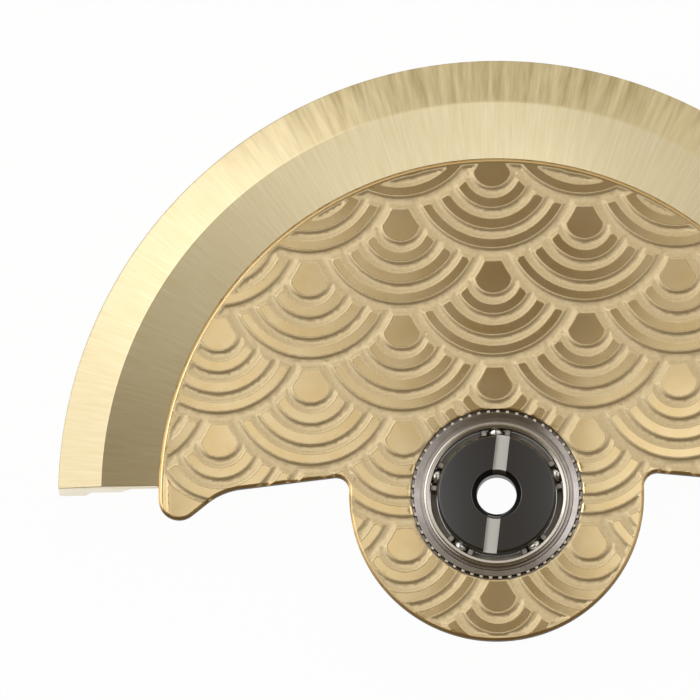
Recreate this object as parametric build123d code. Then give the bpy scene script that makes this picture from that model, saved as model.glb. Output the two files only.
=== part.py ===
from build123d import *
from math import ceil, cos, hypot, radians, sin, sqrt, tan
import os

# Self-winding rotor of a wrist watch, seen from the decorated side.
# A thin engraved plate carries a heavy half-ring weight and turns on a tiny
# ball bearing whose inner race is fixed to the movement.
#
# Frame: the origin is on the bearing's axis, on the face that sits on the
# movement. +Z runs up the bore to the decorated side, +Y points to the middle
# of the weight, and X runs along the weight's two ends. Lengths are in mm.

# Outline of the weight and the plate, in plan
rotor_radius = 13.25            # outside of the weight
bevel_width = 1.35              # sloping outer band of the weight
flat_width = 1.63               # flat band between the bevel and the plate
plate_fit = 0.03                # gap between the plate's edge and the weight
ledge_width = 0.87              # hidden shelf of the weight that carries the plate
weight_end_offset = 0.40        # the weight's two ends stop this far above the axis
lobe_radius = 4.45              # round part of the plate about the bearing
foot_width = 1.92               # the plate's lower corner, from its tip to its shoulder
shoulder_offset = 0.22          # height of that shoulder above the axis
foot_tip_radius = 0.62
foot_shoulder_radius = 2.0
lobe_corner_radius = 0.40
lower_edge_angle = 6.2          # degrees, the plate's lower edge falls outwards
foot_angle = 38.0               # degrees, inner side of the foot

# Heights and thicknesses
plate_thickness = 0.35
plate_underside = 0.60          # above the face that sits on the movement
plate_proud = 0.05              # the plate stands this far above the weight's flat band
bevel_drop = 0.33
ledge_thickness = 0.36
middle_step_drop = 0.77         # from the ledge down to the middle step
outer_step_drop = 0.77          # from the middle step down to the lowest face
bottom_corner = 0.10            # broken outer corner at the bottom
outer_step_width = 0.83         # lowest face, from the outside inwards
outer_step_slope = 0.17
middle_step_width = 0.89
middle_step_slope = 0.36

# Wave pattern: rows of round scales that overlap, with a groove along each one's edge
scale_radius = 2.70             # to the outside of its groove
scale_column_spacing = 2.78
scale_row_spacing = 1.635
first_scale_offset = 0.13       # the scale nearest the axis, along Y
groove_width = 0.28
relief_depth = 0.08
arc_border = 0.20               # plain raised rim along the plate's arc
lobe_border = 0.13              # plain raised rim round the lobe

# Ball bearing
ball_count = 5
ball_radius = 0.25
ball_circle_radius = 1.91       # circle through the ball centres
ball_height = 0.55
race_play = 0.02                # ball to race
race_mouth = 0.22               # gap between the two races, where the balls show
cage_play = 0.04                # cage to race
pocket_play = 0.03              # ball to cage
first_ball_angle = 90.0         # degrees from +X

# Inner race: a core with the bore, and a slotted disc on it
bore_radius = 0.60
core_top = 0.80                 # the bore is straight up to here
seat_radius = 1.30
seat_height = 0.12
neck_radius = 1.05              # spigot of the core inside the disc
disc_top = 1.05
disc_chamfer = 0.07
mouth_radius = 0.75             # the bore opens to this at the disc's top
slot_width = 0.39
slot_depth = 0.15
slot_angle = -6.8               # degrees, from +Y

# Outer race: a turned ring held in the plate's toothed hole
ring_bottom = 0.06
sleeve_radius = 2.45            # carries the gear
shoulder_radius = 2.85          # the plate sits on this
shoulder_height = 0.18
collar_radius = 2.56            # fills the plate's hole
collar_top = 0.82
collar_step_radius = 2.42
collar_step = 0.02
lip_top = 0.93
lip_width = 0.155
lip_chamfer = 0.07
recess_width = 0.125
recess_floor = 0.76
collar_fit = 0.02               # collar to the plate's hole
serration_depth = 0.08
serration_count = 55

# Driving gear under the plate
gear_teeth = 60
gear_web = 0.395                # from the ring's sleeve to the roots of the teeth
tooth_depth = 0.225
gear_thickness = 0.28
gear_fit = 0.01
tooth_tip_share = 0.26          # of the tooth spacing
tooth_root_share = 0.62

# Cage
cage_base_thickness = 0.14
finger_rise = 0.20              # fingers end this far above the ball centres
finger_width = 0.18

cut_overrun = 1.0               # how far a cutting shape runs past the material

# Sizes that follow
bevel_radius = rotor_radius - bevel_width
weight_bore_radius = bevel_radius - flat_width
plate_radius = weight_bore_radius - plate_fit
ledge_radius = weight_bore_radius - ledge_width
plate_top = plate_underside + plate_thickness
flat_top = plate_top - plate_proud
groove_floor = plate_top - relief_depth
half_mouth = race_mouth / 2
flange_radius = ball_circle_radius - half_mouth
lip_radius = ball_circle_radius + half_mouth
race_reach = (ball_radius + race_play) * sqrt(2)    # ball centre to the race's apex
flange_rise = race_reach - half_mouth               # apex to the race's edge, in height
plate_hole_radius = collar_radius + collar_fit


def turned(points):
    """Solid turned about the Z axis from a closed (radius, height) profile."""
    profile = make_face(Plane.XZ * Polyline(*points, close=True))
    return revolve(profile, Axis.Z)


def prism(face, bottom, top):
    """Solid that stands on a plan shape, between two heights."""
    return extrude(Pos(0, 0, bottom) * face, top - bottom, dir=(0, 0, 1))


def polar(radius, angle):
    """Point at an angle in degrees from +X."""
    return (radius * cos(radians(angle)), radius * sin(radians(angle)))


def toothed_outline(count, root, tip, root_share, tip_share):
    """Closed outline of straight-sided teeth between two radii."""
    pitch = 360 / count
    points = []
    for tooth in range(count):
        middle = tooth * pitch
        points.append(polar(root, middle - root_share * pitch / 2))
        points.append(polar(tip, middle - tip_share * pitch / 2))
        if tip_share > 0:
            points.append(polar(tip, middle + tip_share * pitch / 2))
        if root_share < 1:
            points.append(polar(root, middle + root_share * pitch / 2))
    return make_face(Polyline(*points, close=True))


def nearest(sketch, point):
    """The corner of a plan shape that lies nearest to a point."""
    return min(sketch.vertices(), key=lambda v: hypot(v.X - point[0], v.Y - point[1]))


def line_meets_circle(start, angle, radius):
    """Where a line from a point inside a circle about the axis leaves that circle."""
    along = (cos(radians(angle)), sin(radians(angle)))
    towards = start[0] * along[0] + start[1] * along[1]
    inside = radius ** 2 - start[0] ** 2 - start[1] ** 2
    reach = sqrt(towards ** 2 + inside) - towards
    return (start[0] + reach * along[0], start[1] + reach * along[1])


def plate_outline():
    """Plan of the plate: a half disc with two feet, and the lobe about the bearing."""
    shoulder = plate_radius - foot_width
    centre_rise = shoulder_offset + shoulder * tan(radians(lower_edge_angle))
    reach = foot_width + cut_overrun
    far = shoulder + reach
    foot_fall = shoulder_offset - reach * tan(radians(foot_angle))
    top = plate_radius + cut_overrun
    upper = make_face(Polyline(
        (0, centre_rise), (shoulder, shoulder_offset), (far, foot_fall), (far, top),
        (-far, top), (-far, foot_fall), (-shoulder, shoulder_offset), close=True))
    outline = (upper & Circle(plate_radius)) + Circle(lobe_radius)
    tip = line_meets_circle((shoulder, shoulder_offset), -foot_angle, plate_radius)
    lobe_corner = line_meets_circle((0, centre_rise), -lower_edge_angle, lobe_radius)
    corners = [(tip, foot_tip_radius),
               ((shoulder, shoulder_offset), foot_shoulder_radius),
               (lobe_corner, lobe_corner_radius)]
    for (x, y), radius in corners:
        for side in (-1, 1):
            outline = fillet(nearest(outline, (side * x, y)), radius)
    return outline


def scale_shape():
    """Raised ground of one scale, less what the three scales above it cover."""
    raised = Circle(scale_radius - groove_width)
    above = [(0, 2 * scale_row_spacing),
             (scale_column_spacing, scale_row_spacing),
             (-scale_column_spacing, scale_row_spacing)]
    for place in above:
        raised -= Pos(*place) * Circle(scale_radius)
    return raised


def scale_places():
    """Centres of every scale that can reach the plate."""
    reach = plate_radius + scale_radius
    columns = ceil(reach / scale_column_spacing)
    rows = ceil(reach / scale_row_spacing)
    places = []
    for column in range(-columns, columns + 1):
        for row in range(-rows, rows + 1):
            x = column * scale_column_spacing
            y = first_scale_offset + row * scale_row_spacing
            above_lobe = y > -lobe_radius - scale_radius
            over_side = abs(x) < lobe_radius + scale_radius or y > -scale_radius
            if (row - column) % 2 == 0 and hypot(x, y) < reach and above_lobe and over_side:
                places.append((x, y))
    return places


def groove_plan():
    """Grooves between the raised scales, open through the plate's lower edge."""
    field_radius = plate_radius - arc_border
    side = Rectangle(plate_radius, plate_radius * 2, align=(Align.MIN, Align.CENTER))
    sides = Pos(lobe_radius, 0) * side + Rot(0, 0, 180) * (Pos(lobe_radius, 0) * side)
    shoulder = plate_radius - foot_width
    edge_rise = shoulder_offset + (shoulder - lobe_radius) * tan(radians(lower_edge_angle))
    middle = Rectangle(lobe_radius * 2, plate_radius, align=(Align.CENTER, Align.MIN))
    upper = sides + Pos(0, edge_rise) * middle
    field = (upper & Circle(field_radius)) + Circle(lobe_radius - lobe_border)
    scale = scale_shape()
    return field - [Pos(x, y) * scale for x, y in scale_places()]


def rotor_plate():
    """Engraved plate with its toothed hole for the bearing."""
    plate = prism(plate_outline(), plate_underside, plate_top)
    plate -= prism(groove_plan(), groove_floor, plate_top + cut_overrun)
    hole = toothed_outline(serration_count, plate_hole_radius,
                           plate_hole_radius + serration_depth, 1, 0)
    return plate - prism(hole, plate_underside - cut_overrun, plate_top + cut_overrun)


def rim_weight():
    """Half-ring weight: stepped underneath, bevelled outside, with a shelf for the plate."""
    bevel_foot = flat_top - bevel_drop
    ledge_bottom = plate_underside - ledge_thickness
    middle_bottom = ledge_bottom - middle_step_drop
    bottom = middle_bottom - outer_step_drop
    outer_in = rotor_radius - outer_step_width
    middle_out = outer_in - outer_step_slope
    middle_in = middle_out - middle_step_width
    ledge_out = middle_in - middle_step_slope
    ring = turned([
        (weight_bore_radius, flat_top), (bevel_radius, flat_top),
        (rotor_radius, bevel_foot), (rotor_radius, bottom + bottom_corner),
        (rotor_radius - bottom_corner, bottom), (outer_in, bottom),
        (middle_out, middle_bottom), (middle_in, middle_bottom),
        (ledge_out, ledge_bottom), (ledge_radius, ledge_bottom),
        (ledge_radius, plate_underside), (weight_bore_radius, plate_underside)])
    away = rotor_radius + cut_overrun
    lower_half = Rectangle(2 * away, away + weight_end_offset, align=(Align.CENTER, Align.MAX))
    return ring - prism(Pos(0, weight_end_offset) * lower_half, bottom - cut_overrun,
                        flat_top + cut_overrun)


def bearing_core():
    """Lower half of the inner race, with the bore and the face that sits on the movement."""
    apex = ball_circle_radius - race_reach
    return turned([
        (bore_radius, 0), (seat_radius, 0), (seat_radius, seat_height),
        (flange_radius, seat_height), (flange_radius, ball_height - flange_rise),
        (apex, ball_height), (neck_radius, ball_height), (neck_radius, core_top),
        (bore_radius, core_top)])


def slotted_disc():
    """Upper half of the inner race, with the slot that a screwdriver turns."""
    apex = ball_circle_radius - race_reach
    disc = turned([
        (bore_radius, core_top), (neck_radius, core_top), (neck_radius, ball_height),
        (apex, ball_height), (flange_radius, ball_height + flange_rise),
        (flange_radius, disc_top - disc_chamfer), (flange_radius - disc_chamfer, disc_top),
        (mouth_radius, disc_top)])
    slot = Rot(0, 0, slot_angle) * Rectangle(slot_width, 2 * (flange_radius + cut_overrun))
    return disc - prism(slot, disc_top - slot_depth, disc_top + cut_overrun)


def bearing_outer_ring():
    """Outer race, turned in one piece with the collar and the shoulder for the plate."""
    apex = ball_circle_radius + race_reach
    shoulder_bottom = plate_underside - shoulder_height
    lip_out = lip_radius + lip_width
    return turned([
        (lip_radius + lip_chamfer, ring_bottom), (sleeve_radius, ring_bottom),
        (sleeve_radius, shoulder_bottom), (shoulder_radius, shoulder_bottom),
        (shoulder_radius, plate_underside), (collar_radius, plate_underside),
        (collar_radius, collar_top), (collar_step_radius, collar_top),
        (collar_step_radius, collar_top + collar_step),
        (lip_out + recess_width, collar_top + collar_step),
        (lip_out + recess_width, recess_floor), (lip_out, recess_floor),
        (lip_out, lip_top), (lip_radius + lip_chamfer, lip_top),
        (lip_radius, lip_top - lip_chamfer), (lip_radius, ball_height + flange_rise),
        (apex, ball_height), (lip_radius, ball_height - flange_rise),
        (lip_radius, ring_bottom + lip_chamfer)])


def driving_gear():
    """Gear on the outer ring's sleeve, which drives the winding train."""
    top = plate_underside - shoulder_height
    bore = sleeve_radius + gear_fit
    root = bore + gear_web
    rim = toothed_outline(gear_teeth, root, root + tooth_depth,
                          tooth_root_share, tooth_tip_share)
    return prism(rim - Circle(bore), top - gear_thickness, top)


def ball_angles():
    """Angle of each ball about the axis, in degrees."""
    return [first_ball_angle + number * 360 / ball_count for number in range(ball_count)]


def ball_cage():
    """Crown cage: a base ring under the balls, with two fingers beside each."""
    outer = lip_radius - cage_play
    inner = flange_radius + cage_play
    base_top = ball_height - ball_radius - pocket_play
    finger_top = ball_height + finger_rise
    cage = prism(Circle(outer) - Circle(inner), base_top - cage_base_thickness, finger_top)
    pocket = ball_radius + pocket_play
    cleared = Circle(outer + cut_overrun)
    block = Rectangle(2 * race_mouth, 2 * (pocket + finger_width)) - Circle(pocket)
    for angle in ball_angles():
        cleared -= Rot(0, 0, angle) * (Pos(ball_circle_radius, 0) * block)
    return cage - prism(cleared, base_top, finger_top + cut_overrun)


def ball(angle):
    """One bearing ball at its rest place."""
    x, y = polar(ball_circle_radius, angle)
    return Pos(x, y, ball_height) * Sphere(ball_radius)


def write(shape, name):
    """Save one piece under its own name."""
    export_step(shape, "parts/" + name + ".step")
    box = shape.bounding_box()
    print(name, "solids", len(shape.solids()), "volume", round(shape.volume, 4),
          "z", round(box.min.Z, 3), round(box.max.Z, 3))


os.makedirs("parts", exist_ok=True)
write(rotor_plate(), "rotor_plate")
write(rim_weight(), "rim_weight")
write(bearing_outer_ring(), "bearing_outer_ring")
write(driving_gear(), "driving_gear")
write(bearing_core(), "bearing_core")
write(slotted_disc(), "slotted_disc")
write(ball_cage(), "ball_cage")
for number, angle in enumerate(ball_angles(), start=1):
    write(ball(angle), "ball_" + str(number))

# How the balls and the cage turn when the rotor turns once
contact = ball_radius / sqrt(2)
inner_contact = ball_circle_radius - contact
outer_contact = ball_circle_radius + contact
cage_ratio = outer_contact / (inner_contact + outer_contact)
print("cage turns per rotor turn", round(cage_ratio, 5))
print("ball turns per rotor turn", round(cage_ratio * inner_contact / contact, 5))
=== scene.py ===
# %% [markdown]
# # A self-winding watch rotor
#
# The rotor is a thin engraved plate with a heavy half-ring weight, and it turns on a tiny
# ball bearing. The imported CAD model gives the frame: every piece below is made in the same
# place, in the same size, with finer edges and its real finish.

# %% Load the frame
import bpy
import numpy as np
from mathutils import Matrix, Vector
from mathutils.geometry import tessellate_polygon


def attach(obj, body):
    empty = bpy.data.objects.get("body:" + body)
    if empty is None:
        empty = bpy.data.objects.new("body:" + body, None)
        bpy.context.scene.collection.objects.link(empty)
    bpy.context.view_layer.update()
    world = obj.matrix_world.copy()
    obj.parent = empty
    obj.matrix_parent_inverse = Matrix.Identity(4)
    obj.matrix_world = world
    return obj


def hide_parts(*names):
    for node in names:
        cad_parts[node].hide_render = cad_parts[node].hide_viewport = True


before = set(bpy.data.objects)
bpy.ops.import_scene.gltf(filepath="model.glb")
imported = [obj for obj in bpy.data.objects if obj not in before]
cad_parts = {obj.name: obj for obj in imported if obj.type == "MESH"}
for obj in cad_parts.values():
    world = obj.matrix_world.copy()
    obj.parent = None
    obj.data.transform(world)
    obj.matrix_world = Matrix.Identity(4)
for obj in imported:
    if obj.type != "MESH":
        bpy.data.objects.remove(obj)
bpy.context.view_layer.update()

# %% [markdown]
# ## Sizes
#
# All sizes are in millimetres, as in the CAD source, and become metres only when a mesh is
# filled. Heights are above the face that sits on the movement.

# %% Sizes of the rotor
MM = 0.001

rotor_radius = 13.245        # as far as the CAD model's facets reach
bevel_radius = 11.94
weight_bore_radius = 10.212
plate_radius = 10.205
ledge_radius = 9.40
weight_end = 0.40            # the weight's two end faces lie on this line above the axis

plate_underside = 0.60
plate_top = 0.95
flat_top = 0.90
bevel_foot = 0.57
ledge_bottom = 0.24
middle_bottom = -0.53
weight_bottom = -1.30

lobe_radius = 4.45
hole_radius = 2.60

print("across", 2 * rotor_radius, "mm, weight", round(flat_top - weight_bottom, 2), "mm high")

# %% [markdown]
# ## From arrays to a mesh
#
# Each piece is a set of points, worked out as whole arrays, and faces that join them. The
# shading normals are worked out from the same formulas, so a flat stays flat up to the start
# of its rounded edge. `build` only copies the arrays into Blender.

# %% Build a mesh from arrays
def build(name, points, faces, normals=None, sharp=0.6):
    """Piece from points (n, 3) in mm and a list of face arrays (m, corners).

    normals is a list of (m, corners, 3) arrays, one for each face array. Without it, edges
    that bend by more than the angle sharp stay sharp.
    """
    corners = np.concatenate([f.ravel() for f in faces]).astype(np.int32)
    sizes = np.concatenate([np.full(len(f), f.shape[1]) for f in faces])
    starts = np.concatenate([[0], np.cumsum(sizes)[:-1]]).astype(np.int32)
    mesh = bpy.data.meshes.new(name)
    mesh.vertices.add(len(points))
    mesh.vertices.foreach_set("co", (points * MM).astype(np.float32).ravel())
    mesh.loops.add(len(corners))
    mesh.loops.foreach_set("vertex_index", corners)
    mesh.polygons.add(len(sizes))
    mesh.polygons.foreach_set("loop_start", starts)
    mesh.polygons.foreach_set("use_smooth", np.ones(len(sizes), bool))
    mesh.update(calc_edges=True)
    if normals is None:
        mesh.set_sharp_from_angle(angle=sharp)
    else:
        mesh.normals_split_custom_set(np.concatenate([n.reshape(-1, 3) for n in normals]))
    piece = bpy.data.objects.new(name, mesh)
    bpy.context.scene.collection.objects.link(piece)
    print(name, "triangles", int((sizes - 2).sum()))
    return piece


def place(piece, body, slot, material, *nodes):
    """Give a piece its finish and the body it moves with, and hide the CAD nodes it stands for."""
    piece.data.materials.append(material)
    if nodes:
        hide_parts(*nodes)
    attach(piece, body)


def unit(vectors):
    """The same vectors, each of length one."""
    return vectors / np.linalg.norm(vectors, axis=-1, keepdims=True)


# %% [markdown]
# ## Turned parts
#
# The bearing's rings are turned on a lathe, so each is a profile carried round the axis. A
# lathe tool leaves no edge truly sharp: each corner of the profile becomes a short arc, and
# the direction of the surface along that arc gives the shading normal.

# %% Profile with rounded corners, and the lathe
def rounded(corners, steps=4):
    """Closed profile from rows of (radius, height, rounding), counterclockwise.

    Each corner is an arc that touches both sides: it starts rounding times the tangent of
    half the turn before the corner, and takes at most 0.45 of the shorter side. Returns
    points and outward normals.
    """
    rows = np.array(corners, float)
    spot, rounding = rows[:, :2], rows[:, 2]
    into = spot - np.roll(spot, 1, 0)
    away = np.roll(spot, -1, 0) - spot
    long_in, long_out = np.hypot(*into.T), np.hypot(*away.T)
    heading = np.arctan2(into[:, 1], into[:, 0])
    turn = (np.arctan2(away[:, 1], away[:, 0]) - heading + np.pi) % (2 * np.pi) - np.pi
    reach = np.minimum(rounding * np.abs(np.tan(turn / 2)), 0.45 * np.minimum(long_in, long_out))
    radius = (reach / np.tan(turn / 2))[:, None]
    along = heading[:, None] + turn[:, None] * np.linspace(0, 1, steps + 1)
    left = np.stack([-np.sin(along), np.cos(along)], -1)
    start = spot - into / long_in[:, None] * reach[:, None]
    centre = start + left[:, 0] * radius
    points = centre[:, None] - left * radius[:, None]
    return points.reshape(-1, 2), -left.reshape(-1, 2)


def ring_faces(rows, columns, wrap_rows=True, wrap_columns=True):
    """Four-cornered faces of a grid of rows and columns, which may close on itself."""
    row = np.arange(rows if wrap_rows else rows - 1)
    column = np.arange(columns if wrap_columns else columns - 1)
    i, j = np.meshgrid(row, column, indexing="ij")
    up, on = (i + 1) % rows, (j + 1) % columns
    corners = [i * columns + j, i * columns + on, up * columns + on, up * columns + j]
    return np.stack(corners, -1).reshape(-1, 4)


def around(profile, angle):
    """Points (radius, height) turned to each angle: radius times cosine, sine, and height."""
    radius, height = profile[..., 0], profile[..., 1]
    return np.stack([radius * np.cos(angle), radius * np.sin(angle),
                     height + 0 * angle], -1)


def turned(name, corners, columns=220):
    """Ring turned about the axis from a profile of (radius, height, rounding) rows."""
    profile, lean = rounded(corners)
    angle = np.linspace(0, 2 * np.pi, columns, endpoint=False)[None, :]
    points = around(profile[:, None], angle).reshape(-1, 3)
    normals = around(lean[:, None], angle).reshape(-1, 3)
    faces = ring_faces(len(profile), columns)
    return build(name, points, [faces], [normals[faces]])


# %% [markdown]
# ## Outline of the plate
#
# The plate is a half disc with a small foot at each end and a round lobe about the bearing.
# Its outline is five arcs and two lines that touch smoothly, worked out for the right half
# and mirrored.

# %% Outline of the plate as arcs and lines
foot_width = 1.92
shoulder_y = 0.22
lower_edge_slope = np.radians(6.2)
foot_slope = np.radians(38.0)
tip_rounding, shoulder_rounding, lobe_rounding = 0.62, 2.0, 0.40


def offset_line_meets(start, angle, shift, radius):
    """Point at that radius on a line moved sideways by shift, to the left of its angle."""
    along = np.array([np.cos(angle), np.sin(angle)])
    base = np.array(start) + shift * np.array([-along[1], along[0]])
    towards = base @ along
    return base + (np.sqrt(towards ** 2 + radius ** 2 - base @ base) - towards) * along


shoulder = np.array([plate_radius - foot_width, shoulder_y])
middle_rise = np.array([0, shoulder_y + shoulder[0] * np.tan(lower_edge_slope)])
lobe_turn = offset_line_meets(middle_rise, -lower_edge_slope, -lobe_rounding,
                              lobe_radius + lobe_rounding)
line_in = np.array([-np.sin(lower_edge_slope), -np.cos(lower_edge_slope)])
mid_slope = (lower_edge_slope + foot_slope) / 2
half_bend = (foot_slope - lower_edge_slope) / 2
shoulder_turn = shoulder + shoulder_rounding / np.cos(half_bend) * np.array(
    [-np.sin(mid_slope), -np.cos(mid_slope)])
tip_turn = offset_line_meets(shoulder, -foot_slope, tip_rounding, plate_radius - tip_rounding)
foot_in = np.array([-np.sin(foot_slope), -np.cos(foot_slope)])


def arc(centre, radius, first, last):
    """Arc from one angle to the other: counterclockwise round the plate's own material."""
    return ("arc", np.array(centre, float), radius, first, last)


def heading_of(vector):
    """Angle of a level vector."""
    return np.arctan2(vector[1], vector[0])


edge_parts = [
    arc((0, 0), lobe_radius, -np.pi / 2, heading_of(lobe_turn)),
    arc(lobe_turn, lobe_rounding, heading_of(-lobe_turn) + 2 * np.pi, heading_of(-line_in)),
    ("line", lobe_turn - lobe_rounding * line_in, shoulder_turn - shoulder_rounding * line_in),
    arc(shoulder_turn, shoulder_rounding, heading_of(-line_in), heading_of(-foot_in)),
    ("line", shoulder_turn - shoulder_rounding * foot_in, tip_turn + tip_rounding * foot_in),
    arc(tip_turn, tip_rounding, heading_of(foot_in), heading_of(tip_turn)),
    arc((0, 0), plate_radius, heading_of(tip_turn), np.pi / 2),
]
print("foot tip rounding centred at", tip_turn.round(3))

# %% [markdown]
# Two things are asked of the outline: how far a point is from it, and where along it the
# nearest spot lies. Each arc and line answers for itself, and the nearest one is taken.

# %% Distance from the outline
def part_distance(part, points):
    """Distance inwards from one arc or line, and how far along it the nearest point lies."""
    if part[0] == "line":
        start, end = part[1:]
        length = np.linalg.norm(end - start)
        along = (end - start) / length
        gap = points - start
        spot = np.clip(gap @ along, 0, length)
        side = gap @ np.array([-along[1], along[0]])
        miss = np.linalg.norm(gap - spot[:, None] * along, axis=1)
        return np.where(side < 0, -miss, miss), spot, length
    centre, radius, first, last = part[1:]
    gap = points - centre
    sweep = last - first
    middle = (first + last) / 2
    angle = (np.arctan2(gap[:, 1], gap[:, 0]) - middle + np.pi) % (2 * np.pi) - np.pi
    held = np.clip(angle, -abs(sweep) / 2, abs(sweep) / 2)
    near = centre + radius * np.stack([np.cos(middle + held), np.sin(middle + held)], 1)
    miss = np.linalg.norm(points - near, axis=1)
    side = (radius - np.linalg.norm(gap, axis=1)) * np.sign(sweep)
    spot = radius * (held * np.sign(sweep) + abs(sweep) / 2)
    return np.where(side < 0, -miss, miss), spot, radius * abs(sweep)


def edge_of_plate(points):
    """Distance from the plate's edge, positive inside, and the place along the edge.

    The right half is measured with x taken positive. The nearest part gives both values,
    and its side gives the sign, because the parts touch smoothly.
    """
    folded = np.stack([np.abs(points[:, 0]), points[:, 1]], 1)
    distances, spots, lengths = zip(*[part_distance(part, folded) for part in edge_parts])
    before = np.concatenate([[0.0], np.cumsum(lengths)])
    nearest = np.abs(distances).argmin(0)
    pick = nearest, np.arange(len(points))
    along = before[nearest] + np.array(spots)[pick]
    along = np.where(points[:, 0] < 0, 2 * before[-1] - along, along)
    return np.array(distances)[pick], along


corner_check = np.array([[0.0, -lobe_radius], [0.0, plate_radius]])
print("half of the outline", edge_of_plate(corner_check)[1].round(2), "mm")

# %% [markdown]
# ## The wave pattern
#
# Rows of round scales overlap like roof tiles: each one is covered by the three above it. A
# scale is a drop with three bands about it, all raised, and frosted grooves between them. The
# real pattern is cut or pressed and then plated, so the bands have sloping sides and soft
# edges. The tips of the feet are plain, and a plain rim runs along the weight and the lobe.

# %% Places of the scales
column_spacing = 2.78
row_spacing = 1.619
first_scale_y = 0.145
scale_radius = 2.69
drop_radius, drop_stretch = 0.57, 1.14
bands = [(0.77, 1.19), (1.40, 1.83), (2.02, 2.415)]    # inner and outer radius of each
arc_border, lobe_border = 0.20, 0.13     # width of the plain rim along the weight and the lobe
tip_top_y = 0.95                         # the foot's plain tip lies below this


def scale_centres():
    """Centres of the scales that can reach the plate, every other place of a grid."""
    column, row = np.meshgrid(np.arange(-5, 6), np.arange(-5, 9), indexing="ij")
    centres = np.stack([column * column_spacing, first_scale_y + row * row_spacing], -1)
    reach = np.hypot(centres[..., 0], centres[..., 1]) < plate_radius + scale_radius
    return centres[((column + row) % 2 == 0) & reach]


def foot_tip(points):
    """Distance from the edge of the foot's plain tip, beyond the second band of its scale."""
    beyond = np.hypot(np.abs(points[:, 0]) - 3 * column_spacing,
                      points[:, 1] - first_scale_y - row_spacing) - bands[1][1]
    outside = np.abs(points[:, 0]) - shoulder[0] + shoulder_rounding / 2
    return np.minimum(np.minimum(beyond, outside), tip_top_y - points[:, 1])


print("scales", len(scale_centres()))

# %% [markdown]
# One function gives the distance from the nearest edge of a raised part, positive on the
# raised side, and the height follows from that distance.

# %% Distance from the edges of the raised parts
steep_side, gentle_side = 0.12, 0.15     # width in plan of the two kinds of sloping side
near_scale = scale_radius + 0.2          # past this a scale is too far off to matter
corner_y = shoulder_y + (shoulder[0] - lobe_radius) * np.tan(lower_edge_slope)


def raised_distance(points):
    """Distance from the edge of the raised parts, positive on them.

    In one scale it is the largest of the drop's and the three bands' distances, then the
    smaller of that and the distance to the three scales that cover it. Each scale's outer
    edges are steep. Its inner and upper sides are gentle, so their distances are shortened
    in the ratio of the two widths. The foot's tip is as low as the grooves, and the plate's
    plain rim is raised.
    """
    best = np.full(len(points), -9.0)    # lower than any distance that follows
    ease = steep_side / gentle_side
    covers = [(0, 2 * row_spacing), (column_spacing, row_spacing), (-column_spacing, row_spacing)]
    for centre in scale_centres():
        gap = points - centre
        close = np.flatnonzero((np.abs(gap) < near_scale).all(1))
        gap = gap[close]
        reach = np.hypot(gap[:, 0], gap[:, 1])
        slim = np.abs(gap[:, 0]) / drop_stretch
        downwards = np.clip(-gap[:, 1] / drop_radius, 0, 1) ** 2
        raised = drop_radius - np.where(gap[:, 1] > 0, slim, np.hypot(slim, gap[:, 1]))
        raised *= ease + (1 - ease) * downwards
        for inner, outer in bands:
            raised = np.maximum(raised, np.minimum((reach - inner) * ease, outer - reach))
        for cover in covers:
            cover_reach = np.hypot(*(gap - cover).T)
            raised = np.minimum(raised, (cover_reach - scale_radius) * ease)
        best[close] = np.maximum(best[close], raised)
    radius = np.hypot(points[:, 0], points[:, 1])
    beside = np.maximum(np.abs(points[:, 0]) - lobe_radius, points[:, 1] - corner_y)
    field = np.maximum(np.minimum(plate_radius - arc_border - radius, beside),
                       lobe_radius - lobe_border - radius)
    return np.maximum(np.minimum(best, -foot_tip(points)), -field)


first_drop = np.array([[0.0, first_scale_y]])
print("middle of a drop", raised_distance(first_drop).round(3), "mm from its edge")

# %% [markdown]
# ## Cutting a net of triangles along a curve
#
# The plate starts as an even net of small triangles. `cut_along` adds a row of points exactly
# where a function has a given value, and splits the triangles there, so every edge of the
# pattern is a clean curve and the large flats stay light.

# %% Even net of triangles
def triangle_net(low, high, spacing):
    """Even net of triangles over a rectangle: every other row is moved by half a step."""
    step = spacing * np.sqrt(3) / 2
    columns = int(np.ceil((high[0] - low[0]) / spacing)) + 2
    rows = int(np.ceil((high[1] - low[1]) / step)) + 2
    i, j = np.meshgrid(np.arange(rows), np.arange(columns), indexing="ij")
    points = np.stack([low[0] + (j - 0.5 + 0.5 * (i % 2)) * spacing,
                       low[1] + (i - 0.5) * step], -1).reshape(-1, 2)
    i, j = i[:-1, :-1].ravel(), j[:-1, :-1].ravel()
    a, b = i * columns + j, i * columns + j + 1
    c, d = a + columns, b + columns
    even = (i % 2 == 0)[:, None]
    first = np.where(even, np.stack([a, b, c], 1), np.stack([a, b, d], 1))
    second = np.where(even, np.stack([b, d, c], 1), np.stack([a, d, c], 1))
    return points, np.concatenate([first, second])


print("small net", triangle_net((0, 0), (1, 1), 0.5)[1].shape)


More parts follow.
